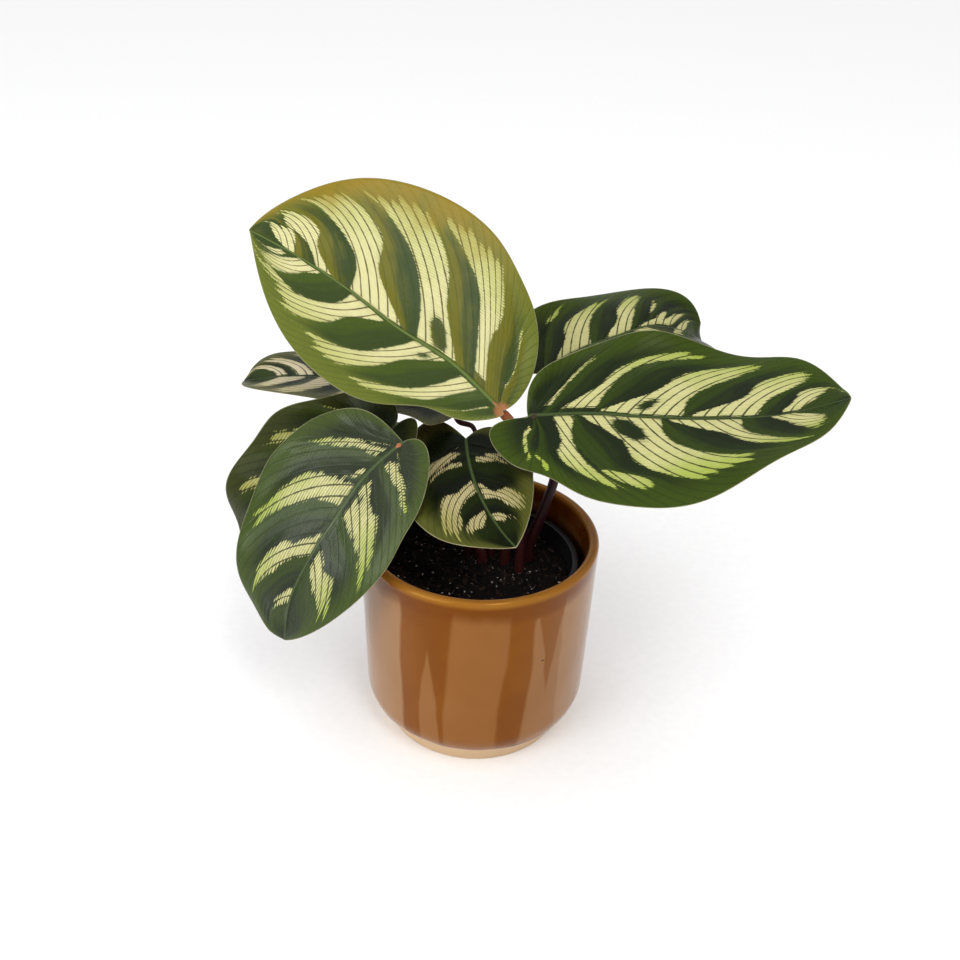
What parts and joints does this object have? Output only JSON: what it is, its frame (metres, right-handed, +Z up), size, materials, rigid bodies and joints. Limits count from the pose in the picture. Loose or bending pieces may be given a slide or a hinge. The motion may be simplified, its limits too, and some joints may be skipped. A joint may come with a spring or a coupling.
{
  "type": "potted calathea",
  "caption": "Small peacock calathea with broad waved leaves on upright stalks, in a nursery pot set inside a round amber-glazed ceramic pot.",
  "frame": {"origin": "middle of the underside of the glazed pot's foot, on the surface it stands on", "axes": "+Z up; +Y away from the viewer of the picture, +X to the viewer's right"},
  "size_m": [0.1941, 0.1241, 0.1782],
  "materials": {
    "glazed_ceramic": "amber-brown gloss glaze, honey-coloured where it thins on the lip, over bare pale clay at the foot",
    "black_plastic": "thin moulded black plastic, semi-gloss",
    "soil": "dark damp potting soil with bark, fibres and pale perlite grains",
    "blade_olive": "young leaf: yellow-green ground with olive oval blotches along the side veins, satin",
    "blade_green": "mature leaf: dark green with cream stripes that carry fine green veins, purple-brown underside, satin to glossy",
    "stalk": "dark maroon stalk with a sheath, orange-pink joint below the blade, satin"
  },
  "bodies": {
    "root": {"pot": "glazed_ceramic", "nursery_pot": "black_plastic", "soil": "soil", "leaf_1_blade": "blade_olive", "leaf_1_stalk": "stalk", "leaf_2_blade": "blade_green", "leaf_2_stalk": "stalk", "leaf_3_blade": "blade_green", "leaf_3_stalk": "stalk", "leaf_4_blade": "blade_green", "leaf_4_stalk": "stalk", "leaf_5_blade": "blade_green", "leaf_5_stalk": "stalk", "leaf_6_blade": "blade_green", "leaf_6_stalk": "stalk", "leaf_7_blade": "blade_green", "leaf_7_stalk": "stalk"}
  },
  "joints": []
}
